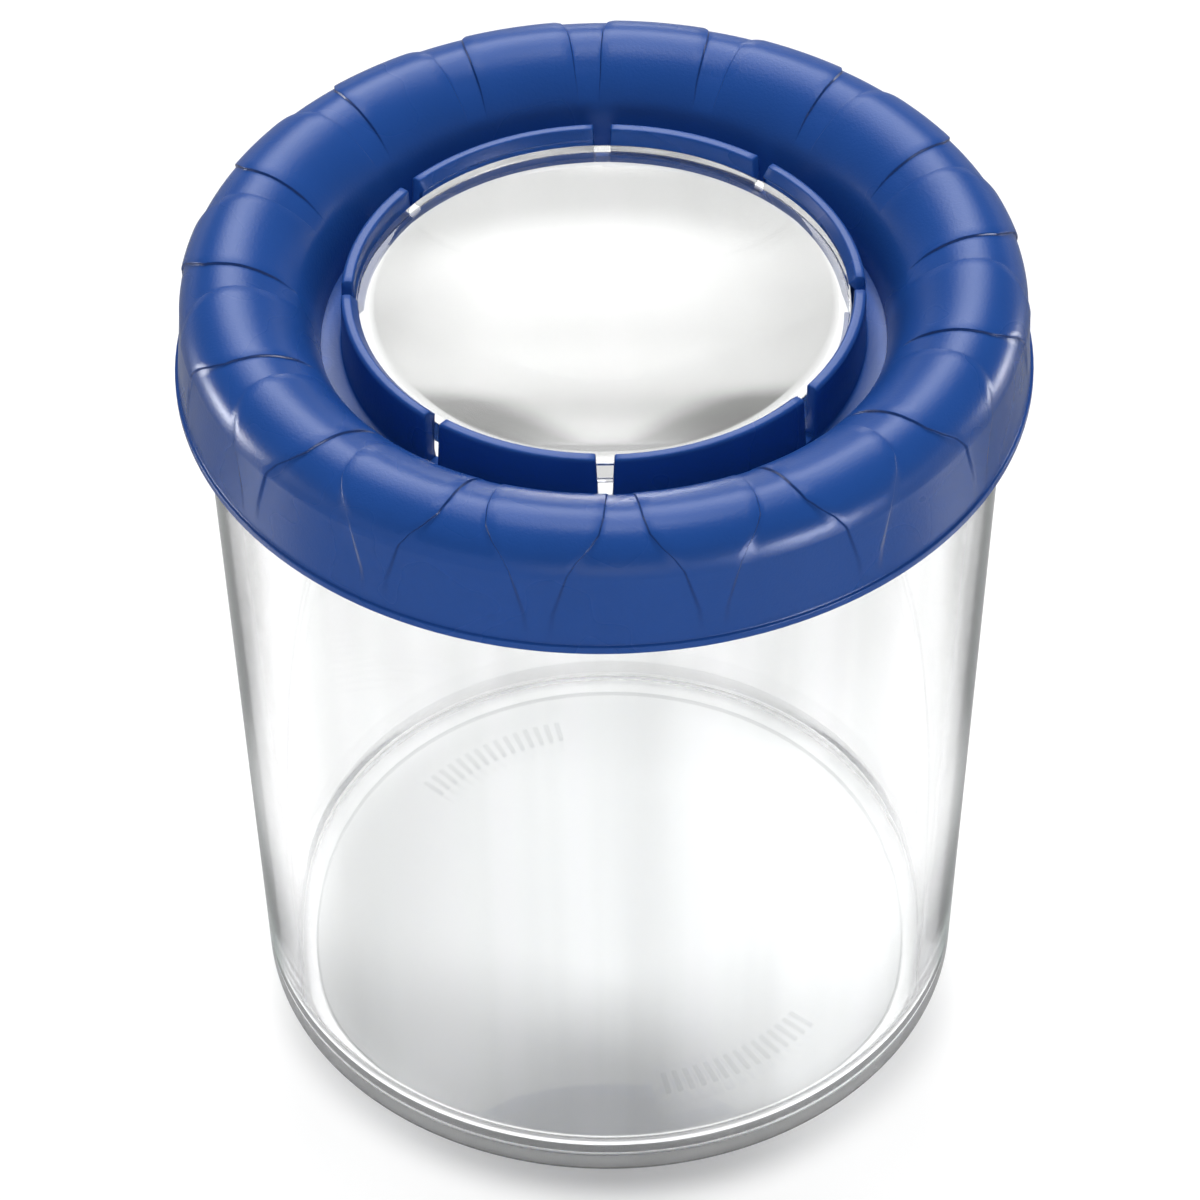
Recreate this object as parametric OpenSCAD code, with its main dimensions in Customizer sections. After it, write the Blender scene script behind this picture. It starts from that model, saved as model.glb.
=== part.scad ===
// Bug catcher jar: a clear tapered cup, a press-on lid shaped as a ribbed ring, and a round
// magnifying lens that snaps between the lid's eight fingers. Millimetres, +Z up, the origin at
// the middle of the foot, so every height is measured from the surface the jar stands on.

/* [Cup] */
// Height of the cup from its foot to its rim
cup_h = 68; // [56:0.5:76]
// Outside radius of the cup at its foot
foot_r = 28.95; // [28:0.05:30]
// Outside radius of the cup at its rim
rim_r = 31.2; // [31:0.1:31.5]
// Wall thickness at the floor
wall_foot = 1.8; // [1.5:0.1:2.2]
// Wall thickness at the rim
wall_rim = 1.4; // [1.2:0.1:1.7]
// Height of the floor's upper face above the foot
floor_z = 1.5; // [1.4:0.1:2.4]
// Depth of the recess under the floor, which leaves a ring to stand on
recess_under = 0.4; // [0.2:0.1:0.8]
// Width of the rounded corner where the wall meets the floor inside
corner_r = 1.6; // [0.8:0.1:2]
// Height of the rounded corner
corner_h = 2.3; // [0.8:0.1:3]

/* [Measuring marks] */
// Radius of the two arcs of marks at their outer ends
mark_r = 21.6; // [19:0.1:24]
// Distance from one mark to the next along the arc
mark_pitch = 1; // [0.8:0.1:1.3]
// Marks in each arc
mark_count = 15; // [5:1:21]
// Length of a mark towards the middle
mark_len = 2.1; // [1:0.1:4]
// Width of a mark
mark_w = 0.3; // [0.2:0.05:0.5]
// Height of a mark above the floor
mark_h = 0.1; // [0.1:0.05:0.3]
// Direction of the middle of the first arc, from the front towards +X
mark_turn = 31; // [0:1:90]

/* [Lid] */
// Outside radius of the lid's lower edge, its widest circle
lid_r = 33; // [32.9:0.1:34]
// Depth that the lid's skirt reaches down over the cup from its rim
skirt_over = 5.75; // [5.3:0.05:6.5]
// Radius of the top line of the rounded ring
crest_r = 28.5; // [28.2:0.1:28.9]
// Height of the top of the ring above the skirt's lower edge
ring_h = 9.7; // [9.5:0.1:10.2]
// Thickness of the lid's top over the hollow of the ring
lid_wall = 1.55; // [1.3:0.05:1.8]
// Gap between the cup's wall and the skirt
skirt_gap = 0.3; // [0.2:0.05:0.4]

/* [Grip recesses] */
// Recesses round the lid
recess_count = 16; // [8:1:16]
// Depth of a recess
recess_depth = 0.2; // [0.15:0.05:0.4]
// Direction of the first recess, from the front towards +X
recess_turn = 2.5; // [0:0.5:20]

/* [Lens holder] */
// Pairs of snap fingers round the lens, a wide one with a bead and a narrow one with a ledge
finger_pairs = 4; // [3:1:6]
// Angle that a wide finger takes up, from the middle of one slot to the next
wide_turn = 50; // [45:1:55]
// Width of a slot at its foot
slot_w_low = 1; // [0.8:0.1:1.2]
// Width of a slot at the fingers' tips
slot_w_top = 1.4; // [1.2:0.1:1.8]
// Outside radius of the fingers
finger_r = 20.1; // [20:0.1:20.4]
// Height of the fingers' tips above the skirt's lower edge
finger_h = 7.2; // [7.1:0.1:7.8]

/* [Lens] */
// Outside radius of the lens with its flat flange
lens_r = 18.9; // [18.7:0.1:18.9]
// Thickness of the flange
flange_t = 1.85; // [1.7:0.05:1.85]
// Width of the flat flange round the bulge
flange_w = 1; // [0.8:0.1:1.5]
// Rise of the bulge above the flange
bulge_over = 2.2; // [1.5:0.1:2.3]
// Drop of the flatter bulge below the flange
bulge_under = 1.1; // [0.5:0.1:2.3]

/* [Hidden] */
$fn = 96;
CLEAR = [0.90, 0.92, 0.92, 0.45];
LENS_CLEAR = [0.93, 0.95, 0.96, 0.55];
BLUE = [0.10, 0.22, 0.52];

// Heights that the cup and lid share
skirt_z = cup_h - skirt_over;
crest_z = skirt_z + ring_h;
tip_z = skirt_z + finger_h;
seat_z = skirt_z + 3.95;
// Room between the lens and the seat under it
seat_gap = 0.05;

// A quarter arc of a superellipse from its middle (cx, cz): n of 2 is an ellipse, less is flatter
function arc_pt(cx, cz, a, b, n, t) =
    [cx + a * sign(cos(t)) * pow(abs(cos(t)), 2 / n), cz + b * pow(abs(sin(t)), 2 / n)];

// Cup: rounding of the foot and rim outside, and the width of the ring that it stands on
foot_round = 0.35;
rim_round = 0.4;
stand_w = 3.2;
inner_foot_r = foot_r - wall_foot;

module cup_shell() {
    rotate_extrude()
    polygon(concat(
        [[0, recess_under], [foot_r - stand_w - recess_under, recess_under], [foot_r - stand_w, 0]],
        [for (t = [-90:22.5:0])
            [foot_r - foot_round + foot_round * cos(t), foot_round + foot_round * sin(t)]],
        [for (t = [0:30:90])
            [rim_r - rim_round + rim_round * cos(t), cup_h - rim_round + rim_round * sin(t)]],
        [[rim_r - wall_rim + rim_round, cup_h], [rim_r - wall_rim, cup_h - rim_round]],
        [for (t = [0:-15:-90])
            [inner_foot_r - corner_r + corner_r * cos(t), floor_z + corner_h + corner_h * sin(t)]],
        [[0, floor_z]]));
}

// One arc of raised marks; each is a short bar that points at the middle
module mark_arc() {
    sunk = 0.1;
    step = mark_pitch / mark_r * 180 / PI;
    for (i = [0:mark_count - 1])
        rotate((i - (mark_count - 1) / 2) * step)
        translate([-mark_w / 2, -mark_r, floor_z - sunk])
        cube([mark_w, mark_len, mark_h + sunk]);
}

module cup() {
    color(CLEAR)
    union() {
        cup_shell();
        for (side = [0, 180])
            rotate(mark_turn + side)
            mark_arc();
    }
}

// Lid: the section of the rounded ring, from the skirt's edge over the crest to the lip inside
bead_h = 0.85;
bead_out = 0.25;
bead_round = 0.15;
skirt_low_r = lid_r - bead_out;
shoulder = [4, 3.4];
inside = [6.8, 7.35];
inside_n = 1.85;
lip_r = crest_r - inside[0];
lip_z = crest_z - inside[1];
shoulder_start = 10;

function ring_outer(inset) = concat(
    [[skirt_low_r - inset, skirt_z + bead_h]],
    [for (t = [shoulder_start:16:90])
        arc_pt(crest_r, crest_z - shoulder[1], shoulder[0] - inset, shoulder[1] - inset, 2, t)],
    [for (t = [80:-10:0])
        arc_pt(crest_r, lip_z, -(inside[0] - inset), inside[1] - inset, inside_n, t)]);

// Underside of the lid: the skirt's bore, the land that rests on the rim, the hollow of the ring
land_gap = 0.15;
land_z = cup_h + land_gap;
land_over = 0.5;
land_in_r = rim_r - wall_rim - land_over;
bore_r = rim_r + skirt_gap;
hub_t = 1.25;
hub_under = lip_z - hub_t;
hollow_r = crest_r - 1.35;
hollow_in = 3.85;
hollow_top = crest_z - lid_wall;

function underside() = concat(
    [for (t = [0:18:90])
        arc_pt(hollow_r, hub_under, -hollow_in, hollow_top - hub_under, 2, t)],
    [for (t = [60:-30:0])
        arc_pt(hollow_r, land_z, land_in_r - hollow_r, hollow_top - land_z, 2, t)],
    [[bore_r, land_z], [bore_r, skirt_z]]);

// Lens holder: the wall of fingers, with a ledge under the flange and a bead over it
finger_in = lens_r + 0.15;
snap_in = lens_r - 0.2;
snap_z = tip_z - 0.7;
snap_low_z = tip_z - 1.2;
ledge_in = lens_r - 0.55;
ledge_t = 0.45;
ledge_brace = 0.65;
tip_round = 0.3;
draft = 0.1;

function holder() = [
    [finger_r, lip_z], [finger_r - draft, tip_z - tip_round], [finger_r - draft - tip_round, tip_z],
    [finger_in + draft, tip_z], [finger_in, tip_z - draft], [finger_in, hub_under]];

// The sections of a ledge and of a bead, with their backs sunk into the finger
function ledge() = [[finger_in + draft, seat_z - ledge_t - ledge_brace], [ledge_in, seat_z - ledge_t],
                    [ledge_in, seat_z], [finger_in + draft, seat_z]];
function bead() = [[finger_in + draft, tip_z], [snap_in, snap_z], [finger_in + draft, snap_low_z]];

// The ledge is under the narrow finger of each pair and the bead on the wide one
module holds() {
    pair = 360 / finger_pairs;
    for (i = [0:finger_pairs - 1])
        rotate(i * pair - 90) {
            rotate(wide_turn)
            rotate_extrude(angle = pair - wide_turn)
            polygon(ledge());
            rotate_extrude(angle = wide_turn)
            polygon(bead());
        }
}

module lid_shell() {
    rotate_extrude()
    polygon(concat(
        [[lid_r - bead_round, skirt_z], [lid_r, skirt_z + bead_round],
         [lid_r, skirt_z + bead_h - bead_out]],
        ring_outer(0), holder(), underside()));
}

// Half the angle, in degrees, that a recess covers at a radius: a narrow wedge over the crest that
// flares as it turns down the skirt
wedge_mid = 2.6;
wedge_flare = 6.2;
wedge_narrowing = 0.17;
wedge_in_r = crest_r - 4.7;
wedge_turn_r = crest_r - 0.2;
skirt_mid_r = lid_r - 0.4;
function half_angle(r) = r < wedge_turn_r
    ? wedge_mid - wedge_narrowing * (wedge_turn_r - r)
    : wedge_mid + wedge_flare * pow((r - wedge_turn_r) / (skirt_mid_r - wedge_turn_r), 3);
function on_circle(r, a) = [r * sin(a), -r * cos(a)];

module recess_plan() {
    steps = 6;
    radii = concat([wedge_in_r, wedge_turn_r],
                   [for (i = [1:steps]) wedge_turn_r + i * (skirt_mid_r - wedge_turn_r) / steps]);
    edge = concat([for (r = radii) [r, half_angle(r)]], [[lid_r + 1, half_angle(skirt_mid_r)]]);
    last = len(edge) - 1;
    polygon(concat(
        [for (e = edge) on_circle(e[0], e[1])],
        [for (i = [last:-1:0]) on_circle(edge[i][0], -edge[i][1])]));
}

// The skin that the recesses take off, between the ring's surface and the same curve further in
module recess_skin() {
    low_z = skirt_z + bead_h + 0.4;
    past = 1;
    rotate_extrude()
    polygon(concat(
        [[skirt_low_r - recess_depth, low_z]],
        [for (p = ring_outer(recess_depth)) if (p[1] > low_z && p[0] > wedge_in_r) p],
        [[wedge_in_r, crest_z + past], [lid_r + past, crest_z + past], [lid_r + past, low_z]]));
}

module recesses() {
    intersection() {
        recess_skin();
        for (i = [0:recess_count - 1])
            rotate(recess_turn + i * 360 / recess_count)
            translate([0, 0, skirt_z])
            linear_extrude(ring_h + 1)
            recess_plan();
    }
}

// Each slot is cut through the fingers and their ledges, from just above the well's floor
module slots() {
    past = 0.7;
    low_z = lip_z + 0.4;
    top_z = tip_z + past;
    for (i = [0:finger_pairs - 1], turn = [0, wide_turn])
        rotate(i * 360 / finger_pairs + turn)
        translate([0, -finger_r - past, 0])
        rotate([-90, 0, 0])
        linear_extrude(finger_r - ledge_in + 2 * past)
        polygon([[-slot_w_low / 2, -low_z], [slot_w_low / 2, -low_z],
                 [slot_w_top / 2, -top_z], [-slot_w_top / 2, -top_z]]);
}

module lid() {
    color(BLUE)
    difference() {
        union() {
            lid_shell();
            holds();
        }
        recesses();
        slots();
    }
}

// Lens: a flange with a shallow bulge above and a flatter one below, each a slice of a ball
flange_z = seat_z + seat_gap;
flange_round = 0.1;
bulge_r = lens_r - flange_w;
ball_steps = 8;

// Points of one bulge from the axis to the flange: side is 1 above and -1 below
function bulge_pts(base_z, rise, side) =
    let (ball_r = (bulge_r * bulge_r + rise * rise) / (2 * rise))
    [for (i = [0:ball_steps]) let (a = asin(bulge_r / ball_r) * i / ball_steps)
        [ball_r * sin(a), base_z + side * (rise - ball_r + ball_r * cos(a))]];

module lens() {
    top_z = flange_z + flange_t;
    top = bulge_pts(top_z, bulge_over, 1);
    color(LENS_CLEAR)
    rotate_extrude()
    polygon(concat(
        bulge_pts(flange_z, bulge_under, -1),
        [[lens_r - flange_round, flange_z], [lens_r, flange_z + flange_round],
         [lens_r, top_z - flange_round], [lens_r - flange_round, top_z]],
        [for (i = [ball_steps:-1:0]) top[i]]));
}

cup();
lid();
lens();
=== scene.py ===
import math

import bmesh
import bpy
import numpy as np
from mathutils import Matrix, Vector


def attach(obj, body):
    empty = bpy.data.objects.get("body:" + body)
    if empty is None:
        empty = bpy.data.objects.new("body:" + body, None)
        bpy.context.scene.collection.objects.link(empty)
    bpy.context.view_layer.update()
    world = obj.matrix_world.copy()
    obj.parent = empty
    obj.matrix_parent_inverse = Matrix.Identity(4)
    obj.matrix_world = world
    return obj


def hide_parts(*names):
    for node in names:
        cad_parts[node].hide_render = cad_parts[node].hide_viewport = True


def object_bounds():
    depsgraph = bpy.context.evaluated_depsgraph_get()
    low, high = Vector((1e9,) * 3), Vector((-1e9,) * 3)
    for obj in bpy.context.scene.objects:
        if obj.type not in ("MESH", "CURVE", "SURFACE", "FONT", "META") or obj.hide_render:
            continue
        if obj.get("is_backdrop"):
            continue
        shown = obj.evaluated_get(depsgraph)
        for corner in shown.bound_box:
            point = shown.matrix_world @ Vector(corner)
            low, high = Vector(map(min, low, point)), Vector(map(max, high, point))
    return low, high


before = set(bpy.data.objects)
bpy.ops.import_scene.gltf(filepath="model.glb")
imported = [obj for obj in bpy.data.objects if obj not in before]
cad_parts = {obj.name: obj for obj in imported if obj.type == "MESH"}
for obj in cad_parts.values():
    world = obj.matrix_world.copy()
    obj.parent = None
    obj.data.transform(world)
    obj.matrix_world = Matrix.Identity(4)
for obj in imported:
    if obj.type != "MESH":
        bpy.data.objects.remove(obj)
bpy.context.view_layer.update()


# The cup
# One shot of clear polished plastic: a tapered wall, a thin floor with two arcs of measuring marks
# moulded on it, and a ring underneath that the jar stands on. Sizes are millimetres here, as in
# the mould drawing, and turned() makes them metres.
MM = 0.001


def turned(bm, columns):
    """A skin turned round the jar's axis. A column's points are degrees from the front, radius and
    height."""
    columns = np.asarray(columns, float)
    turn, radius, height = np.radians(columns[..., 0]), columns[..., 1], columns[..., 2]
    places = np.stack((radius * np.sin(turn), -radius * np.cos(turn), height), -1) * MM
    grid = [[bm.verts.new(place) for place in column] for column in places]
    for here, there in zip(grid, grid[1:] + grid[:1]):
        for row in range(len(here) - 1):
            bm.faces.new((here[row], there[row], there[row + 1], here[row + 1]))
    return grid


def capped(bm, ring, height):
    """Closes a ring of corners with a fan about a point on the axis."""
    middle = bm.verts.new((0, 0, height * MM))
    for here, there in zip(ring, ring[1:] + ring[:1]):
        bm.faces.new((here, there, middle))


def joined(bm, ring_a, turns_a, ring_b, turns_b):
    """Faces between two rings of corners on one flat face, whose turns need not match."""
    turns_a, turns_b = np.asarray(turns_a, float), np.asarray(turns_b, float)
    start = int(np.argmin(abs((turns_b - turns_a[0] + 180) % 360 - 180)))
    ring_b = ring_b[start:] + ring_b[:start]
    steps_a = np.concatenate(([0], np.cumsum(np.diff(np.append(turns_a, turns_a[0])) % 360)))
    turns_b = np.roll(turns_b, -start)
    first = (turns_b[0] - turns_a[0] + 180) % 360 - 180
    steps_b = np.concatenate(([0], np.cumsum(np.diff(np.append(turns_b, turns_b[0])) % 360)))
    steps_b = first + steps_b
    a = b = 0
    while a < len(ring_a) or b < len(ring_b):
        here_a, here_b = ring_a[a % len(ring_a)], ring_b[b % len(ring_b)]
        if b == len(ring_b) or (a < len(ring_a) and steps_a[a + 1] <= steps_b[b + 1]):
            bm.faces.new((here_a, ring_a[(a + 1) % len(ring_a)], here_b))
            a += 1
        else:
            bm.faces.new((here_a, ring_b[(b + 1) % len(ring_b)], here_b))
            b += 1


def moulded(name, bm, sharp_over):
    """The finished mesh object, smooth but for edges sharper than sharp_over degrees."""
    bmesh.ops.recalc_face_normals(bm, faces=bm.faces)
    mesh = bpy.data.meshes.new(name)
    bm.to_mesh(mesh)
    bm.free()
    mesh.shade_smooth()
    mesh.set_sharp_from_angle(angle=math.radians(sharp_over))
    piece = bpy.data.objects.new(name, mesh)
    bpy.context.scene.collection.objects.link(piece)
    return piece


def arc(middle_r, middle_z, across, up, start, stop, steps, power=2.0):
    """Points of an oval arc, from start to stop degrees. A power under 2 flattens it."""
    points = []
    for step in range(steps + 1):
        t = math.radians(start + (stop - start) * step / steps)
        c, s = math.cos(t), math.sin(t)
        points.append((middle_r + across * math.copysign(abs(c) ** (2 / power), c),
                       middle_z + up * math.copysign(abs(s) ** (2 / power), s)))
    return points


def straight(start, stop, steps):
    """Points from start towards stop, without stop itself."""
    return [tuple(np.add(start, np.subtract(stop, start) * step / steps)) for step in range(steps)]


CUP_H = 68.0
FOOT_R, RIM_R = 28.95, 31.2
FOOT_ROUND, RIM_ROUND = 0.35, 0.4
STAND_IN_R = 25.6
WALL_FOOT, WALL_RIM = 1.8, 1.4
FLOOR_Z = 1.5
UNDER_FLOOR_Z = 0.4
CORNER_R, CORNER_H = 1.6, 2.3
MARK_R, MARK_LEN, MARK_W, MARK_H = 21.6, 2.1, 0.3, 0.1
MARKS, MARK_PITCH, MARK_TURN = 15, 1.0, 31.0
MARK_EDGE = 0.12

cup_inner_foot_r = FOOT_R - WALL_FOOT
under_and_outside = (
    [(9, UNDER_FLOOR_Z), (18, UNDER_FLOOR_Z), (25.3, UNDER_FLOOR_Z)]
    + arc(STAND_IN_R, 0.2, -0.2, 0.2, 90, -90, 6)
    + straight((25.9, 0), (FOOT_R - FOOT_ROUND, 0), 4)
    + arc(FOOT_R - FOOT_ROUND, FOOT_ROUND, FOOT_ROUND, FOOT_ROUND, -90, 0, 8)
    + straight((FOOT_R + 0.02, 0.9), (RIM_R, CUP_H - RIM_ROUND), 40)
    + arc(RIM_R - RIM_ROUND, CUP_H - RIM_ROUND, RIM_ROUND, RIM_ROUND, 0, 90, 6)
    + arc(RIM_R - WALL_RIM + RIM_ROUND, CUP_H - RIM_ROUND, -RIM_ROUND, RIM_ROUND, 90, 0, 6)
    + straight((RIM_R - WALL_RIM, CUP_H - 0.8), (cup_inner_foot_r, FLOOR_Z + CORNER_H + 0.3), 40)
    + arc(cup_inner_foot_r - CORNER_R, FLOOR_Z + CORNER_H, CORNER_R, CORNER_H, 0, -90, 16)
)
mark_rings = [MARK_R + MARK_EDGE, MARK_R, MARK_R - MARK_LEN, MARK_R - MARK_LEN - MARK_EDGE]

# The wall has a column every degree. The floor's columns follow the sides of the marks instead, so
# the two meet in a ring of triangles on the flat floor.
WALL_IN_R, MARKED_R = 25.0, 24.4
wall_turns = np.arange(0, 360, 1.0)
mark_half = math.degrees(MARK_W / 2 / MARK_R)
mark_edge = math.degrees(MARK_EDGE / MARK_R)
mark_step = math.degrees(MARK_PITCH / MARK_R)
mark_turns = [MARK_TURN + side + (i - (MARKS - 1) / 2) * mark_step
              for side in (0, 180) for i in range(MARKS)]
mark_columns = {}
for middle in mark_turns:
    for off, raised in ((-mark_half - mark_edge, 0), (-mark_half, 1), (mark_half, 1),
                        (mark_half + mark_edge, 0)):
        mark_columns[round((middle + off) % 360, 4)] = raised
for turn in np.arange(0, 360, 3.0):
    if min(abs((turn - other + 180) % 360 - 180) for other in mark_turns) > mark_step / 3:
        mark_columns[turn] = 0
floor_columns = []
for turn in sorted(mark_columns):
    floor = [(MARKED_R, FLOOR_Z), (23, FLOOR_Z)]
    floor += [(r, FLOOR_Z + (MARK_H if mark_columns[turn] and 0 < ring < 3 else 0))
              for ring, r in enumerate(mark_rings)]
    floor += [(18, FLOOR_Z), (12, FLOOR_Z), (6, FLOOR_Z)]
    floor_columns.append([(turn, r, z) for r, z in floor])
wall_section = under_and_outside + [(WALL_IN_R, FLOOR_Z)]

CUP_SHARP = 50
bm = bmesh.new()
wall_grid = turned(bm, [[(turn, r, z) for r, z in wall_section] for turn in wall_turns])
floor_grid = turned(bm, floor_columns)
joined(bm, [column[-1] for column in wall_grid], wall_turns,
       [column[0] for column in floor_grid], sorted(mark_columns))
capped(bm, [column[0] for column in wall_grid], UNDER_FLOOR_Z)
capped(bm, [column[-1] for column in floor_grid], FLOOR_Z)
cup = moulded("cup_clear", bm, CUP_SHARP)


# These lay the shaders' nodes. A value is a number, a colour or another node's output.
def put(socket, value):
    """Joins an output to the socket, or sets the socket to a plain value."""
    if isinstance(value, bpy.types.NodeSocket):
        socket.id_data.links.new(value, socket)
    else:
        socket.default_value = value


def laid(tree, kind, values):
    """A new node with its inputs, by name or number, at the values."""
    new = tree.nodes.new(kind)
    for where, value in values.items():
        put(new.inputs[where], value)
    return new


def calc(tree, operation, *values):
    """The output of a Math node."""
    new = laid(tree, "ShaderNodeMath", dict(enumerate(values)))
    new.operation = operation
    return new.outputs[0]


def product(tree, first, *others):
    """The product of all the values."""
    for other in others:
        first = calc(tree, "MULTIPLY", first, other)
    return first


def vector_calc(tree, operation, *values):
    """A Vector Math node. Its outputs are Vector and Value."""
    new = laid(tree, "ShaderNodeVectorMath", dict(enumerate(values)))
    new.operation = operation
    return new


def parts_of(tree, vector):
    """The X, Y and Z outputs of a vector."""
    return laid(tree, "ShaderNodeSeparateXYZ", {0: vector}).outputs[:]


def ramp(tree, value, low, high, start=0.0, end=1.0, easing="SMOOTHSTEP"):
    """Start where the value is low, end where it is high, and eased in between."""
    new = laid(tree, "ShaderNodeMapRange", {"Value": value, "From Min": low, "From Max": high,
                                            "To Min": start, "To Max": end})
    new.interpolation_type = easing
    return new.outputs[0]


def blended(tree, share, first, second, way="MIX"):
    """A colour between two others, by the share of the second."""
    new = tree.nodes.new("ShaderNodeMix")
    new.data_type, new.blend_type = "RGBA", way
    for where, value in (("Factor", share), ("A", first), ("B", second)):
        put(new.inputs[where], value)
    return new.outputs["Result"]


def emptied(owner):
    """The node tree of a material or world, with nothing in it."""
    owner.use_nodes = True
    owner.node_tree.nodes.clear()
    return owner.node_tree


# The plastic's flow in the mould leaves faint streaks that run up the wall, and a slight waviness.
# Laid on strongly, the streaks also serve as painted shade for the soft grey reflections on the
# cup's wall.
# The group gives a tone near 1 and a height, both from the direction round the axis.
flow_and_streak_shade = bpy.data.node_groups.new("moulding_flow_and_streak_shade", "ShaderNodeTree")
for name, start in (("Streaks", 3.0), ("Upward", 2.0), ("Amount", 0.05)):
    socket = flow_and_streak_shade.interface.new_socket(name, in_out="INPUT", socket_type="NodeSocketFloat")
    socket.default_value = start
for name in ("Tone", "Height"):
    flow_and_streak_shade.interface.new_socket(name, in_out="OUTPUT", socket_type="NodeSocketFloat")
given = flow_and_streak_shade.nodes.new("NodeGroupInput").outputs
x, y, z = parts_of(flow_and_streak_shade, flow_and_streak_shade.nodes.new("ShaderNodeTexCoord").outputs["Object"])
level = laid(flow_and_streak_shade, "ShaderNodeCombineXYZ", {"X": x, "Y": y}).outputs[0]
round_axis = vector_calc(flow_and_streak_shade, "NORMALIZE", level).outputs["Vector"]
spread = vector_calc(flow_and_streak_shade, "SCALE", round_axis)
put(spread.inputs["Scale"], given["Streaks"])
climb = laid(flow_and_streak_shade, "ShaderNodeCombineXYZ", {"Z": calc(flow_and_streak_shade, "MULTIPLY", z, given["Upward"])})
where = vector_calc(flow_and_streak_shade, "ADD", spread.outputs["Vector"], climb.outputs[0]).outputs["Vector"]
cloud = laid(flow_and_streak_shade, "ShaderNodeTexNoise", {"Vector": where, "Scale": 1.0, "Detail": 3.0,
                                          "Roughness": 0.45}).outputs["Fac"]
centred = calc(flow_and_streak_shade, "SUBTRACT", cloud, 0.5)
tone = calc(flow_and_streak_shade, "MULTIPLY_ADD", centred, given["Amount"], 1.0)
laid(flow_and_streak_shade, "NodeGroupOutput", {"Tone": tone, "Height": cloud})


def flow_and_shade_in(tree, streaks, upward, amount):
    """The moulding's flow, and on the cup its painted streak shade, placed in one material."""
    new = tree.nodes.new("ShaderNodeGroup")
    new.node_tree = flow_and_streak_shade
    for where, value in (("Streaks", streaks), ("Upward", upward), ("Amount", amount)):
        put(new.inputs[where], value)
    return new.outputs


# A ray that has met this many surfaces is trapped in a corner, so it goes on straight and dimmed
LONG_WAY = 4.5
LETS_LIGHT_BY, DIMMED = (0.993, 0.995, 0.995, 1), (0.87, 0.873, 0.875, 1)


def clear_polymer(name):
    """Clear polished plastic that lets lamps shine through, and its Principled shader."""
    stuff = bpy.data.materials.new(name)
    tree = emptied(stuff)
    glassy = laid(tree, "ShaderNodeBsdfPrincipled", {"Roughness": 0.0, "IOR": 1.5,
                                                     "Transmission Weight": 1.0})
    lets_light_by = laid(tree, "ShaderNodeBsdfTransparent", {"Color": LETS_LIGHT_BY})
    dimmed = laid(tree, "ShaderNodeBsdfTransparent", {"Color": DIMMED})
    path = tree.nodes.new("ShaderNodeLightPath").outputs
    from_lamp = calc(tree, "MAXIMUM", path["Is Shadow Ray"], path["Is Diffuse Ray"])
    trapped = calc(tree, "GREATER_THAN", path["Ray Depth"], LONG_WAY)
    seen = laid(tree, "ShaderNodeMixShader", {0: trapped, 1: glassy.outputs[0],
                                              2: dimmed.outputs[0]})
    mix = laid(tree, "ShaderNodeMixShader", {0: from_lamp, 1: seen.outputs[0],
                                             2: lets_light_by.outputs[0]})
    laid(tree, "ShaderNodeOutputMaterial", {"Surface": mix.outputs[0]})
    return stuff, glassy


clear_plastic, glassy = clear_polymer("clear_plastic")
tree = clear_plastic.node_tree
x, y, z = parts_of(tree, tree.nodes.new("ShaderNodeTexCoord").outputs["Object"])
level = laid(tree, "ShaderNodeCombineXYZ", {"X": x, "Y": y}).outputs[0]
radius = vector_calc(tree, "LENGTH", level).outputs["Value"]
inside_r = calc(tree, "MULTIPLY_ADD", z, (RIM_R - FOOT_R) / CUP_H, (FOOT_R - 0.6) * MM)
outer_face = calc(tree, "GREATER_THAN", radius, inside_r)

# The marks stand up from the floor a little frosted, so they show as faint grey ticks
raised = calc(tree, "GREATER_THAN", z, (FLOOR_Z + 0.02) * MM)
on_floor = calc(tree, "LESS_THAN", radius, (MARK_R + 1) * MM)
WHITE, FROSTED = (1, 1, 1, 1), (0.84, 0.845, 0.845, 1)
look = blended(tree, calc(tree, "MULTIPLY", raised, on_floor), WHITE, FROSTED)

# Seen along its skin the outer wall is painted grey-green: thick clear plastic's own tint at its
# edges, darkened further as painted shade for the dark edges it shows
GREY_GREEN_EDGE_SHADE = (0.17, 0.25, 0.22, 1)
EDGE_STARTS, EDGE_FULL = 0.79, 0.9
along_skin = laid(tree, "ShaderNodeLayerWeight", {"Blend": 0.5}).outputs["Facing"]
at_edge = ramp(tree, along_skin, EDGE_STARTS, EDGE_FULL)
look = blended(tree, calc(tree, "MULTIPLY", at_edge, outer_face), look, GREY_GREEN_EDGE_SHADE)

# Painted shade: the foot's outer face is painted an even grey band with a dark lower edge, for the
# whole floor that shows edge on through it.
# From inside, at the back of the jar, the painted band is fainter.
BAND_LOW, BAND_HIGH = 1.98 * MM, 2.22 * MM
PAINTED_BAND_GREY, PAINTED_LOWER_EDGE_GREY = 0.165, 0.03
FAINTER_INSIDE = 0.72
in_painted_band = calc(tree, "MULTIPLY", ramp(tree, z, BAND_HIGH, BAND_LOW), outer_face)
from_inside = tree.nodes.new("ShaderNodeNewGeometry").outputs["Backfacing"]
strength = calc(tree, "MULTIPLY_ADD", from_inside, -FAINTER_INSIDE, 1.0)
band_shade = ramp(tree, z, 0.5 * MM, 0.35 * MM, PAINTED_BAND_GREY, PAINTED_LOWER_EDGE_GREY, easing="LINEAR")
look = blended(tree, calc(tree, "MULTIPLY", in_painted_band, strength), look, band_shade)

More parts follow.
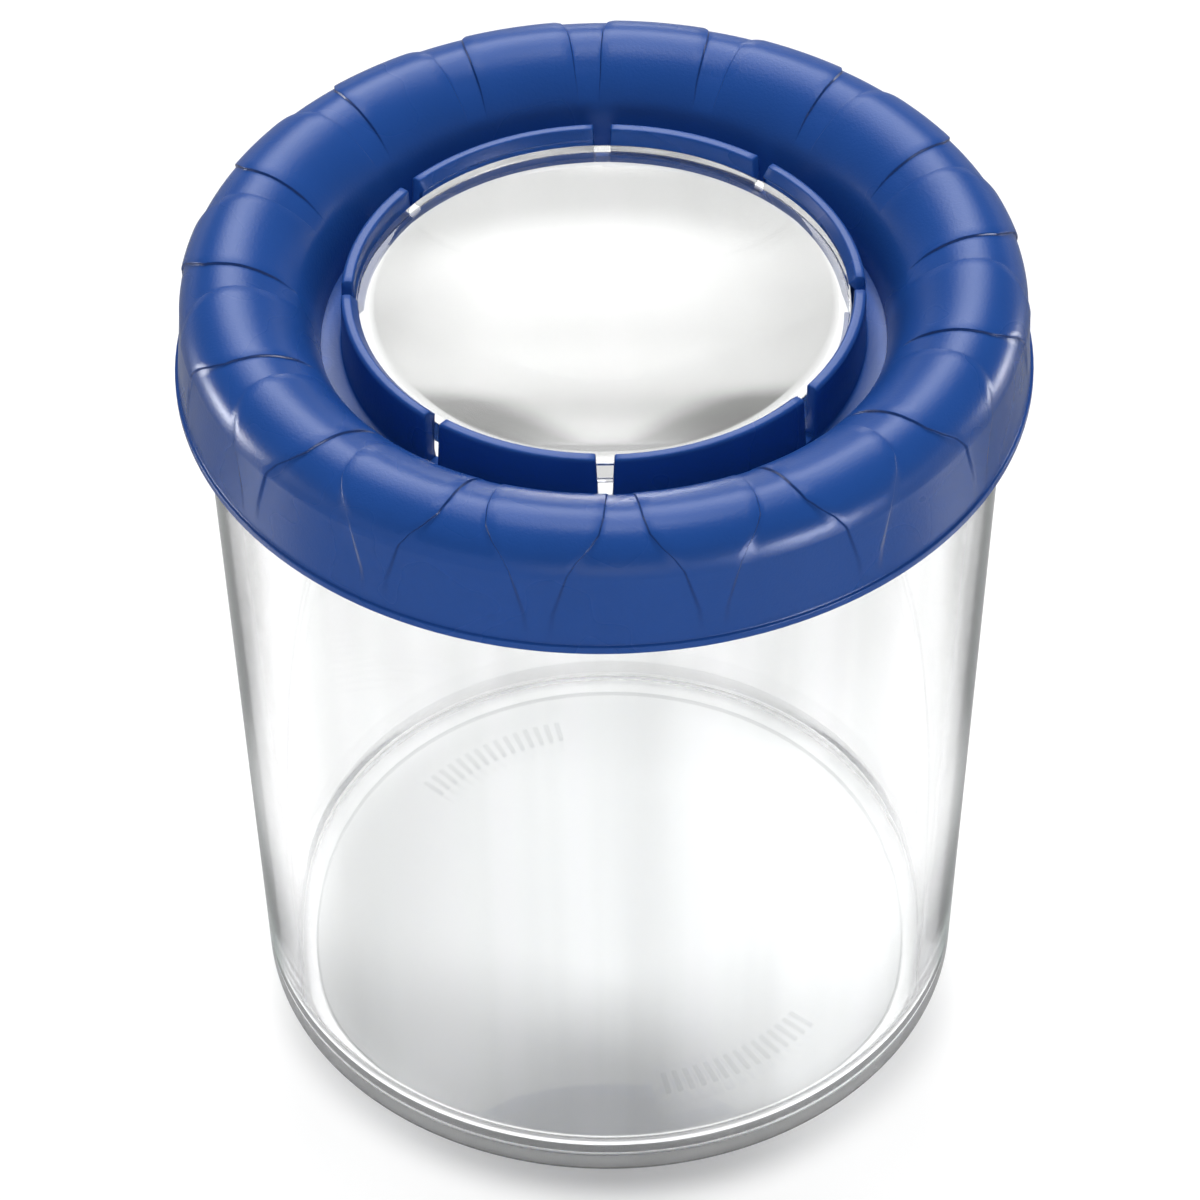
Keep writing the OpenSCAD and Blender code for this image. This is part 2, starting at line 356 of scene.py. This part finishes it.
# Only the wall is streaky, with painted shade: the flow's streaks are laid on strongly for the
# soft grey reflections that run up it. The floor is clear.
NEARLY_CLEAR = (0.985, 0.99, 0.985, 1)
streaky = flow_and_shade_in(tree, streaks=5.0, upward=2.0, amount=0.35)
on_wall = ramp(tree, radius, 25.4 * MM, 26.4 * MM, easing="LINEAR")
streaked = blended(tree, on_wall, NEARLY_CLEAR, streaky["Tone"], "MULTIPLY")
put(glassy.inputs["Base Color"], blended(tree, 1.0, streaked, look, "MULTIPLY"))

# The ring that it stands on is left matt by the mould, and wears dull
MATT_ROUGHNESS = 0.6
low = calc(tree, "LESS_THAN", z, 0.12 * MM)
on_ring = calc(tree, "GREATER_THAN", radius, STAND_IN_R * MM)
put(glassy.inputs["Roughness"], product(tree, low, on_ring, MATT_ROUGHNESS))

# The wall isn't quite true: a slight waviness runs up it with the flow
wavy = laid(tree, "ShaderNodeBump", {"Strength": 0.1, "Distance": 0.05 * MM,
                                     "Height": streaky["Height"]})
put(glassy.inputs["Normal"], wavy.outputs[0])

cup.data.materials.append(clear_plastic)
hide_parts("cup")
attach(cup, "cup")


# The lid
# One shot of blue satin plastic that presses on over the cup's rim: a hollow rounded ring with a
# skirt, sixteen shallow grip recesses that flare down the skirt, and a well with eight snap
# fingers that hold the lens.
LID_R = 33.0
SKIRT_Z = 62.25
CREST_R, CREST_Z = 28.5, 71.95
SHOULDER = (4.0, 3.4)
INSIDE = (6.8, 7.35)
LIP_R, LIP_Z = CREST_R - INSIDE[0], CREST_Z - INSIDE[1]
BORE_R = 31.5
RECESSES, RECESS_TURN, RECESS_DEPTH = 16, 2.5, 0.2

ring_section = (
    [(31.95, SKIRT_Z), (32.4, SKIRT_Z)]
    + arc(LID_R - 0.15, SKIRT_Z + 0.15, 0.15, 0.15, -90, 0, 4)
    + [(LID_R, SKIRT_Z + 0.3), (LID_R, SKIRT_Z + 0.45)]
    + arc(LID_R - 0.12, SKIRT_Z + 0.57, 0.12, 0.12, 0, 75, 4)
    + [(32.79, SKIRT_Z + 0.72), (32.755, SKIRT_Z + 0.78)]
    + straight((32.745, SKIRT_Z + 0.88), (32.46, 68.9), 24)
    + arc(CREST_R, CREST_Z - SHOULDER[1], *SHOULDER, 6, 90, 34)
    + arc(CREST_R, LIP_Z, -INSIDE[0], INSIDE[1], 88, 4, 42, power=1.85)
    + [(LIP_R, LIP_Z + 0.05)]
)
ring_section = np.array(ring_section)
along = np.concatenate(([0], np.cumsum(np.linalg.norm(np.diff(ring_section, axis=0), axis=1))))
skirt_row = int(np.argmax(ring_section[:, 1] > SKIRT_Z + 0.8))
along -= along[skirt_row]
tangent = np.gradient(ring_section, axis=0)
outward = np.stack((tangent[:, 1], -tangent[:, 0]), 1)
outward /= np.linalg.norm(outward, axis=1)[:, None]

# How far a recess reaches to each side of its middle, in degrees, by the distance up the section
# from the skirt's edge. Below them, how deep it is there, and how wide the slope at its edge is
EDGE_AT = np.array([0, 2.5, 6.2, 7.3, 8.2, 9.4, 11.0, 13.3, 15.2, 16.8, 30])
EDGE_HALF = np.array([9.0, 8.8, 7.3, 6.2, 4.75, 3.3, 2.65, 2.3, 2.15, 1.85, 1.6])
recess_half = np.interp(along, EDGE_AT, EDGE_HALF)
recess_depth = RECESS_DEPTH * np.interp(along, [0.2, 3.5, 6.5, 14.5, 17.5], [0, 0.6, 1, 1, 0])
slope_mm = np.interp(along, [0, 4, 7, 30], [0.9, 0.5, 0.16, 0.14])
slope_width = np.degrees(slope_mm / ring_section[:, 0])

# Columns follow the edges of the recesses: a share across the recess, the slope, and the land
EASE = [0, 0.06, 0.3, 0.7, 0.94, 1]
slope = np.linspace(0, 1, len(EASE))
ring_columns = []
for recess in range(RECESSES):
    middle = RECESS_TURN + recess * 360 / RECESSES
    gap = 360 / RECESSES
    for share in np.linspace(-1, 1, 9)[1:-1]:
        ring_columns.append((middle + share * recess_half, 1.0))
    for share, ease in zip(slope, EASE):
        ring_columns.append((middle + recess_half + share * slope_width, 1 - ease))
    land = gap - 2 * recess_half - 2 * slope_width
    for share in np.linspace(0, 1, 10)[1:-1]:
        ring_columns.append((middle + recess_half + slope_width + share * land, 0.0))
    for share, ease in zip(slope, EASE):
        ring_columns.append((middle + gap - recess_half - (1 - share) * slope_width, ease))
skin = []
for turn, sunk in ring_columns:
    places = ring_section - outward * (recess_depth * sunk)[:, None]
    skin.append(np.column_stack((np.broadcast_to(turn, along.shape), places)))

# The wall of fingers, each quarter turn a wide one with a bead over the lens and a narrow one with
# a ledge under it, and then the underside: the hub, the ring's hollow and the bore
FINGER_R, FINGER_IN, TIP_Z = 20.1, 19.05, 69.45
SEAT_Z, LEDGE_IN, LEDGE_T, HUB_UNDER = 66.2, 18.35, 0.45, 63.35
SLOT_FLOOR = LIP_Z + 0.4
SLOT_LOW, SLOT_TOP = 1.0, 1.4
PAIRS, WIDE_TURN = 4, 50
LAND_Z, HOLLOW_TOP = 68.15, 70.4

at_lip = [(FINGER_R + 0.25, LIP_Z), (FINGER_R + 0.08, LIP_Z + 0.08), (FINGER_R, LIP_Z + 0.25)]
outer_face = straight((FINGER_R, SLOT_FLOOR), (FINGER_R - 0.1, TIP_Z - 0.3), 10)
tip = arc(FINGER_R - 0.4, TIP_Z - 0.3, 0.3, 0.3, 0, 90, 6) + [(FINGER_IN + 0.35, TIP_Z)]
with_bead = (
    arc(FINGER_IN + 0.3, TIP_Z - 0.2, -0.2, 0.2, 90, 10, 4)
    + [(18.72, TIP_Z - 0.62), (18.7, TIP_Z - 0.7), (18.72, TIP_Z - 0.78), (FINGER_IN, TIP_Z - 1.2)]
)
plain = (
    arc(FINGER_IN + 0.2, TIP_Z - 0.2, -0.2, 0.2, 90, 10, 4)
    + straight((FINGER_IN, TIP_Z - 0.3), (FINGER_IN, TIP_Z - 1.2), 3) + [(FINGER_IN, TIP_Z - 1.2)]
)
down_to_seat = straight((FINGER_IN, TIP_Z - 1.4), (FINGER_IN, SEAT_Z), 3) + [(FINGER_IN, SEAT_Z)]
no_ledge = (
    straight((FINGER_IN, SEAT_Z - 0.2), (FINGER_IN, SLOT_FLOOR), 5)
    + straight((FINGER_IN, SLOT_FLOOR), (FINGER_IN, HUB_UNDER + 0.1), 4)
    + [(FINGER_IN, HUB_UNDER + 0.1), (FINGER_IN + 0.1, HUB_UNDER)]
)
with_ledge = [
    (FINGER_IN - 0.15, SEAT_Z), (LEDGE_IN + 0.08, SEAT_Z), (LEDGE_IN, SEAT_Z - 0.08),
    (LEDGE_IN, SEAT_Z - LEDGE_T), (FINGER_IN, SEAT_Z - LEDGE_T - 0.65),
] + no_ledge[5:]
underside = (
    straight((19.3, HUB_UNDER), (23.3, HUB_UNDER), 3)
    + arc(27.15, HUB_UNDER, -3.85, HOLLOW_TOP - HUB_UNDER, 0, 90, 16)
    + arc(27.15, LAND_Z, 2.15, HOLLOW_TOP - LAND_Z, 85, 0, 8)
    + straight((29.4, LAND_Z), (BORE_R, LAND_Z), 3)
    + straight((BORE_R, LAND_Z), (BORE_R, SKIRT_Z + 0.1), 8)
    + [(BORE_R, SKIRT_Z + 0.1), (BORE_R + 0.1, SKIRT_Z)]
)
wide = np.array(outer_face + tip + with_bead + down_to_seat + no_ledge)
narrow = np.array(outer_face + tip + plain + down_to_seat + with_ledge)

# In a slot the section runs straight across the slot's floor instead of over the finger
over = len(wide) - len(no_ledge)
in_slot = np.array(
    [(r, SLOT_FLOOR) for r in np.linspace(FINGER_R, FINGER_IN, over)]
    + [(FINGER_IN, SLOT_FLOOR - 0.01 * step) for step in range(1, 6)] + no_ledge[5:])


def eased(section, inset):
    """The section with its skin drawn in, for the rounded edge beside a slot."""
    run = np.gradient(section, axis=0)
    out = np.stack((run[:, 1], -run[:, 0]), 1)
    out /= np.maximum(np.linalg.norm(out, axis=1), 1e-9)[:, None]
    return section - out * inset


def slot_edge(section):
    """Half the slot's width, in degrees, at each point of the section."""
    half = np.interp(section[:, 1], [SLOT_FLOOR, TIP_Z], [SLOT_LOW / 2, SLOT_TOP / 2])
    return np.degrees(half / section[:, 0])


ROUND = [(0, 0.13), (0.04, 0.05), (0.13, 0)]
finger_columns = []
for pair in range(PAIRS):
    for section, start, turns_by in ((wide, 0, WIDE_TURN), (narrow, WIDE_TURN, 90 - WIDE_TURN)):
        start += pair * 360 / PAIRS
        for share in (-1, -0.5, 0, 0.5, 1):
            finger_columns.append((start + share * slot_edge(in_slot), in_slot))
        ends = []
        for away, inset in ROUND:
            places = eased(section, inset)
            ends.append((slot_edge(places) + np.degrees(away / places[:, 0]), places))
        finger_columns += [(start + off, places) for off, places in ends]
        first, last = start + ends[-1][0], start + turns_by - ends[-1][0]
        for share in np.linspace(0, 1, 20)[1:-1]:
            finger_columns.append((first + share * (last - first), section))
        finger_columns += [(start + turns_by - off, places) for off, places in ends[::-1]]
inner = []
for turns, places in finger_columns:
    plain_turn = float(turns[0])
    column = [(plain_turn, r, z) for r, z in at_lip]
    column += [(turn, r, z) for turn, (r, z) in zip(turns, places)]
    inner.append(column + [(plain_turn, r, z) for r, z in underside])


LID_SHARP = 38
bm = bmesh.new()
step_shade_layer = bm.verts.layers.float.new("recess_step_shade")
outer_grid = turned(bm, skin)
# Each corner on the slope of a recess edge is marked for how much painted shade it takes
for (turn, sunk), column in zip(ring_columns, outer_grid):
    for corner, depth in zip(column, recess_depth):
        corner[step_shade_layer] = 4 * sunk * (1 - sunk) * min(1, depth / RECESS_DEPTH)
inner_grid = turned(bm, inner)
outer_turns = [column[0][0] for column in skin]
outer_lip_turns = [column[-1][0] for column in skin]
joined(bm, [column[-1] for column in outer_grid], outer_lip_turns,
       [column[0] for column in inner_grid], [column[0][0] for column in inner])
joined(bm, [column[0] for column in outer_grid], outer_turns,
       [column[-1] for column in inner_grid], [column[-1][0] for column in inner])
lid = moulded("lid_blue", bm, LID_SHARP)

# The mould's fine spark texture breaks up the highlights, the gloss is a little patchy, and the
# blue is faintly uneven with the flow. Along the edges of the recesses it is painted darker, as
# painted shade in the steps.
DEEP_BLUE, PAINTED_SHADE_BLUE = (0.014, 0.07, 0.3, 1), (0.004, 0.018, 0.09, 1)
GLOSSIEST, DULLEST = 0.26, 0.295
PAINTED_SHADE_SHARE = 0.75
blue_plastic = bpy.data.materials.new("blue_plastic")
tree = emptied(blue_plastic)
place = tree.nodes.new("ShaderNodeTexCoord").outputs["Object"]
grain = laid(tree, "ShaderNodeTexNoise", {"Vector": place, "Scale": 4200, "Detail": 2.0,
                                          "Roughness": 0.6}).outputs["Fac"]
spark = laid(tree, "ShaderNodeBump", {"Strength": 0.4, "Distance": 0.04 * MM, "Height": grain})
patches = laid(tree, "ShaderNodeTexNoise", {"Vector": place, "Scale": 90,
                                            "Detail": 2.0}).outputs["Fac"]
streaky = flow_and_shade_in(tree, streaks=5.0, upward=40.0, amount=0.14)
tinted = blended(tree, 1.0, DEEP_BLUE, streaky["Tone"], "MULTIPLY")
step = tree.nodes.new("ShaderNodeAttribute")
step.attribute_name = "recess_step_shade"
painted_step_shade = calc(tree, "MULTIPLY", step.outputs["Fac"], PAINTED_SHADE_SHARE)
satin = laid(tree, "ShaderNodeBsdfPrincipled", {
    "Base Color": blended(tree, painted_step_shade, tinted, PAINTED_SHADE_BLUE),
    "Roughness": ramp(tree, patches, 0.3, 0.7, GLOSSIEST, DULLEST, easing="LINEAR"),
    "IOR": 1.5, "Specular IOR Level": 0.3, "Normal": spark.outputs[0]})
laid(tree, "ShaderNodeOutputMaterial", {"Surface": satin.outputs[0]})
lid.data.materials.append(blue_plastic)
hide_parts("lid")
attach(lid, "lid")


# The lens
# A round magnifier of clear plastic, polished in the mould, with a flat flange round its bulge.
# It sits on the lid's ledge, under the beads of the snap fingers.
LENS_R, FLANGE_Z, FLANGE_T, FLANGE_W = 18.9, 66.25, 1.85, 1.0
BULGE_OVER, BULGE_UNDER = 2.2, 1.1

bulge_r = LENS_R - FLANGE_W
flange_top = FLANGE_Z + FLANGE_T


def bulge(rise, steps=40):
    """Radius and rise of a shallow slice of a ball, from next to its middle out to the flange."""
    ball_r = (bulge_r ** 2 + rise ** 2) / (2 * rise)
    spread = math.asin(bulge_r / ball_r)
    turns = [spread * step / steps for step in range(1, steps + 1)]
    return [(ball_r * math.sin(t), ball_r * math.cos(t) - ball_r + rise) for t in turns]


under = [(r, FLANGE_Z - up) for r, up in bulge(BULGE_UNDER)]
over = [(r, flange_top + up) for r, up in reversed(bulge(BULGE_OVER))]
lens_section = (
    under
    + [(bulge_r + 0.3, FLANGE_Z), (LENS_R - 0.2, FLANGE_Z)]
    + arc(LENS_R - 0.12, FLANGE_Z + 0.12, 0.12, 0.12, -90, 0, 4)
    + arc(LENS_R - 0.12, flange_top - 0.12, 0.12, 0.12, 0, 90, 4)
    + [(LENS_R - 0.2, flange_top), (bulge_r + 0.3, flange_top)]
    + over
)
LENS_SHARP = 50
bm = bmesh.new()
grid = turned(bm, [[(turn, r, z) for r, z in lens_section] for turn in np.arange(0, 360, 1.0)])
capped(bm, [column[0] for column in grid], FLANGE_Z - BULGE_UNDER)
capped(bm, [column[-1] for column in grid], flange_top + BULGE_OVER)
lens = moulded("lens_clear", bm, LENS_SHARP)

# A thick lens takes a little more light than the cup's wall, and its polish mirrors the panels
LENS_CLEAR = (0.765, 0.767, 0.76, 1)
lens_plastic, polished = clear_polymer("lens_plastic")
tree = lens_plastic.node_tree
streaky = flow_and_shade_in(tree, streaks=1.0, upward=2.0, amount=0.02)
streaked = blended(tree, 1.0, LENS_CLEAR, streaky["Tone"], "MULTIPLY")
put(polished.inputs["Base Color"], streaked)
put(polished.inputs["Specular IOR Level"], 1.0)
lens.data.materials.append(lens_plastic)
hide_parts("lens")
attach(lens, "lens")


# The table and the light
# A plain white table under a white surround. Soft panels stand behind, above and beside the jar.
# What the clear plastic shows of the table is set apart from what the camera sees straight on, and
# holds painted light, shadow and reflection.
TABLE_R = 3.0
bm = bmesh.new()
bmesh.ops.create_circle(bm, cap_ends=True, radius=TABLE_R, segments=96)
floor_mesh = bpy.data.meshes.new("table")
bm.to_mesh(floor_mesh)
bm.free()
floor = bpy.data.objects.new("table", floor_mesh)
floor.location.z = -0.05 * MM
bpy.context.scene.collection.objects.link(floor)
floor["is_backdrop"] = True

table_white = bpy.data.materials.new("table_white")
tree = emptied(table_white)
path = tree.nodes.new("ShaderNodeLightPath").outputs
place = tree.nodes.new("ShaderNodeTexCoord").outputs["Object"]
x, y, z = parts_of(tree, place)
sideways = calc(tree, "ABSOLUTE", x)
from_jar = vector_calc(tree, "LENGTH", place).outputs["Value"]


def mirror_only(tree, path):
    """1 for a mirrored ray. A ray through clear plastic counts as glossy too, and is left out."""
    only = calc(tree, "SUBTRACT", path["Is Glossy Ray"], path["Is Transmission Ray"])
    only.node.use_clamp = True
    return only


# The jar's shadow fades out 5 mm past its foot in front, 2 to 3 mm at its sides and none behind.
# The table takes the light of the lamps there, and elsewhere it mostly glows by itself.
SHADOW_MIDDLE, SHADOW_DARK_R, SHADOW_END_R = (0.5 * MM, -2.6 * MM, 0), 26.9 * MM, 31.4 * MM
from_shadow = vector_calc(tree, "DISTANCE", place, SHADOW_MIDDLE).outputs["Value"]
away = ramp(tree, from_shadow, SHADOW_DARK_R, SHADOW_END_R)
direct_glow = ramp(tree, away, 0.0, 1.0, 0.04, 0.86, easing="LINEAR")
direct_base = blended(tree, away, (0.9, 0.9, 0.89, 1), (0.14, 0.14, 0.14, 1))

# Painted light: seen through the plastic, the table glows in a ring under the cup's foot, for the
# light that comes down inside the wall and leaves by its foot
FOOT_LIGHT_R, FOOT_LIGHT_HALF = 26.5 * MM, 0.8 * MM
off_foot = calc(tree, "COMPARE", from_jar, FOOT_LIGHT_R, FOOT_LIGHT_HALF)
forward = ramp(tree, y, 5 * MM, -14 * MM, 0.0, 0.8)
painted_foot_glow = calc(tree, "MULTIPLY_ADD", off_foot, forward, 0.04)

# Painted light and painted shade: seen through the plastic, the table under the floor glows at the
# right, for the light that comes in there and pools, and is painted darker at its left
under_floor = ramp(tree, from_jar, 27 * MM, 23 * MM)
on_right = ramp(tree, x, 2 * MM, 22 * MM, 0.0, 0.3)
on_left = ramp(tree, x, -1 * MM, -22 * MM, 0.0, 0.2)
painted_light_pool = calc(tree, "MULTIPLY_ADD", under_floor, on_right, painted_foot_glow)
painted_left_shade = calc(tree, "MULTIPLY", under_floor, on_left)

# Painted reflection: in the wall's gloss the table glows more strongly at both sides of the jar,
# where the panels stand
beside = ramp(tree, sideways, 32 * MM, 44 * MM, 0.0, 1.15)
not_behind = ramp(tree, y, 24 * MM, 4 * MM)
not_in_front = ramp(tree, y, -34 * MM, -8 * MM)
painted_bright_sides = product(tree, beside, not_behind, not_in_front)

# Painted shadow: the far side of the lid's shadow is painted on the table behind the jar, seen
# only through the plastic, where only the lens's front edge shows it
behind = ramp(tree, y, 118 * MM, 142 * MM)
in_middle = ramp(tree, y, 148 * MM, 185 * MM, 0.14, 0.0)
at_sides = ramp(tree, sideways, 2.5 * MM, 8 * MM, 0.0, 0.85)
near_middle = ramp(tree, sideways, 40 * MM, 24 * MM)
near_jar = ramp(tree, y, 420 * MM, 280 * MM)
deeper = calc(tree, "MAXIMUM", in_middle, at_sides)
painted_far_shadow = product(tree, deeper, behind, near_middle, near_jar)
painted_shadow_and_shade = calc(tree, "MAXIMUM", painted_far_shadow, painted_left_shade)
through_base = blended(tree, painted_shadow_and_shade, (0.93, 0.93, 0.93, 1), (0.1, 0.1, 0.095, 1))

mirrored = mirror_only(tree, path)
painted_side_reflection = calc(tree, "MULTIPLY", mirrored, painted_bright_sides)
through_glow = calc(tree, "MULTIPLY_ADD", path["Is Transmission Ray"], painted_light_pool, painted_side_reflection)
glow = calc(tree, "MULTIPLY_ADD", path["Is Camera Ray"], direct_glow, through_glow)
other_base = blended(tree, mirrored, through_base, (0.38, 0.38, 0.38, 1))
paint = laid(tree, "ShaderNodeBsdfPrincipled", {
    "Base Color": blended(tree, path["Is Camera Ray"], other_base, direct_base),
    "Roughness": 0.3, "Specular IOR Level": 0.25,
    "Emission Color": (1, 1, 1, 1), "Emission Strength": glow})
laid(tree, "ShaderNodeOutputMaterial", {"Surface": paint.outputs[0]})
floor.data.materials.append(table_white)

# The surround is white to look at. As a light it is weak, and in reflections it is dim above.
SOFT_LIGHT = 0.12
world = bpy.data.worlds.new("white_surround")
bpy.context.scene.world = world
tree = emptied(world)
path = tree.nodes.new("ShaderNodeLightPath").outputs
direct = calc(tree, "MAXIMUM", path["Is Camera Ray"], path["Is Transmission Ray"])
x, y, z = parts_of(tree, tree.nodes.new("ShaderNodeTexCoord").outputs["Generated"])
wall = ramp(tree, z, 0.05, 0.3, 0.8, 0.12, easing="LINEAR")
gloss = calc(tree, "MULTIPLY", mirror_only(tree, path), wall)
soft = calc(tree, "MULTIPLY", path["Is Diffuse Ray"], SOFT_LIGHT)
strength = calc(tree, "ADD", calc(tree, "ADD", direct, gloss), soft)
surround = laid(tree, "ShaderNodeBackground", {"Color": (1, 1, 1, 1), "Strength": strength})
laid(tree, "ShaderNodeOutputWorld", {"Surface": surround.outputs[0]})

LID_MIDDLE = Vector((0, 0, 0.07))
PANEL_PEAK = 1.7


def panel(name, turn, rise, away, wide, high, power, lights_all=True, mirrored=True):
    """A panel that faces the lid. Turn is from straight behind towards +X, rise above level. A
    mirrored one fades out towards its edges."""
    data = bpy.data.lights.new(name, "AREA")
    data.shape = "RECTANGLE"
    data.size, data.size_y = wide, high
    data.energy = power
    if mirrored:
        data.use_nodes = True
        tree = data.node_tree
        sides = parts_of(tree, tree.nodes.new("ShaderNodeTexCoord").outputs["UV"])[:2]
        fades = [ramp(tree, calc(tree, "PINGPONG", side, 0.5), 0.0, 0.5, 0.0, PANEL_PEAK,
                      easing="SMOOTHERSTEP") for side in sides]
        put(tree.nodes["Emission"].inputs["Strength"], product(tree, *fades))
    lamp = bpy.data.objects.new(name, data)
    a, e = math.radians(turn), math.radians(rise)
    toward = Vector((math.sin(a) * math.cos(e), math.cos(a) * math.cos(e), math.sin(e)))
    lamp.location = LID_MIDDLE + toward * away
    lamp.rotation_mode = "QUATERNION"
    lamp.rotation_quaternion = toward.to_track_quat("Z", "Y")
    lamp.visible_camera = False
    lamp.visible_transmission = False
    lamp.visible_diffuse = lights_all
    lamp.visible_glossy = mirrored
    bpy.context.scene.collection.objects.link(lamp)


# Each row holds the name, turn, rise, distance, width, height and power.
# These light every surface, but don't show in the gloss
for row in (("key_right", 21, 53, 0.9, 0.18, 0.09, 4.2),
            ("key_left", -19, 53, 0.9, 0.18, 0.09, 3.2),
            ("front_light", 181, 48, 0.9, 0.08, 0.08, 1.7),
            ("fill_front", 180, 8, 0.9, 0.5, 0.3, 2.4),
            ("fill_left", -90, 10, 0.9, 0.5, 0.3, 0.8),
            ("fill_right", 90, 10, 0.9, 0.5, 0.3, 0.8)):
    panel(*row, mirrored=False)
# These show only in the gloss
for row in (("panel_behind", -2, 37, 0.9, 0.9, 0.5, 3.3),
            ("panel_high", -6, 53, 0.9, 1.2, 0.55, 3.2),
            ("panel_above", 2, 74, 0.9, 0.6, 0.45, 2.0),
            ("strip_behind", 1, 8, 0.9, 0.2, 0.35, 0.25),
            ("panel_left", -77, 0, 0.7, 0.4, 0.24, 3.8),
            ("panel_right", 66, 0, 0.7, 0.3, 0.24, 1.8),
            ("panel_right_front", 132, 4, 0.7, 0.42, 0.24, 4)):
    panel(*row, lights_all=False)


# The camera
# It stands in front of the jar and looks down at it through a long lens, at the photograph's
# angle and with its slight tilt.
CAMERA_AT = Vector((0, -0.298, 0.3186))
YAW, DOWN, ROLL = math.radians(-0.10), math.radians(43.43), math.radians(-0.62)
SENSOR = 36
FOCAL_PIXELS, PHOTO_WIDTH = 5096, 1200

ahead = Vector((math.sin(YAW) * math.cos(DOWN), math.cos(YAW) * math.cos(DOWN), -math.sin(DOWN)))
level = Vector((math.cos(YAW), -math.sin(YAW), 0))
above = level.cross(ahead)
right = math.cos(ROLL) * level + math.sin(ROLL) * above
up = -math.sin(ROLL) * level + math.cos(ROLL) * above
camera_data = bpy.data.cameras.new("camera")
camera_data.sensor_width = SENSOR
camera_data.lens = FOCAL_PIXELS / PHOTO_WIDTH * SENSOR
camera_data.clip_start, camera_data.clip_end = 0.01, 20
camera = bpy.data.objects.new("camera", camera_data)
turned_to = Matrix((right, up, -ahead)).transposed().to_4x4()
camera.matrix_world = Matrix.Translation(CAMERA_AT) @ turned_to
bpy.context.scene.collection.objects.link(camera)
bpy.context.scene.camera = camera
bpy.context.scene.view_settings.view_transform = "Standard"

low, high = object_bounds()
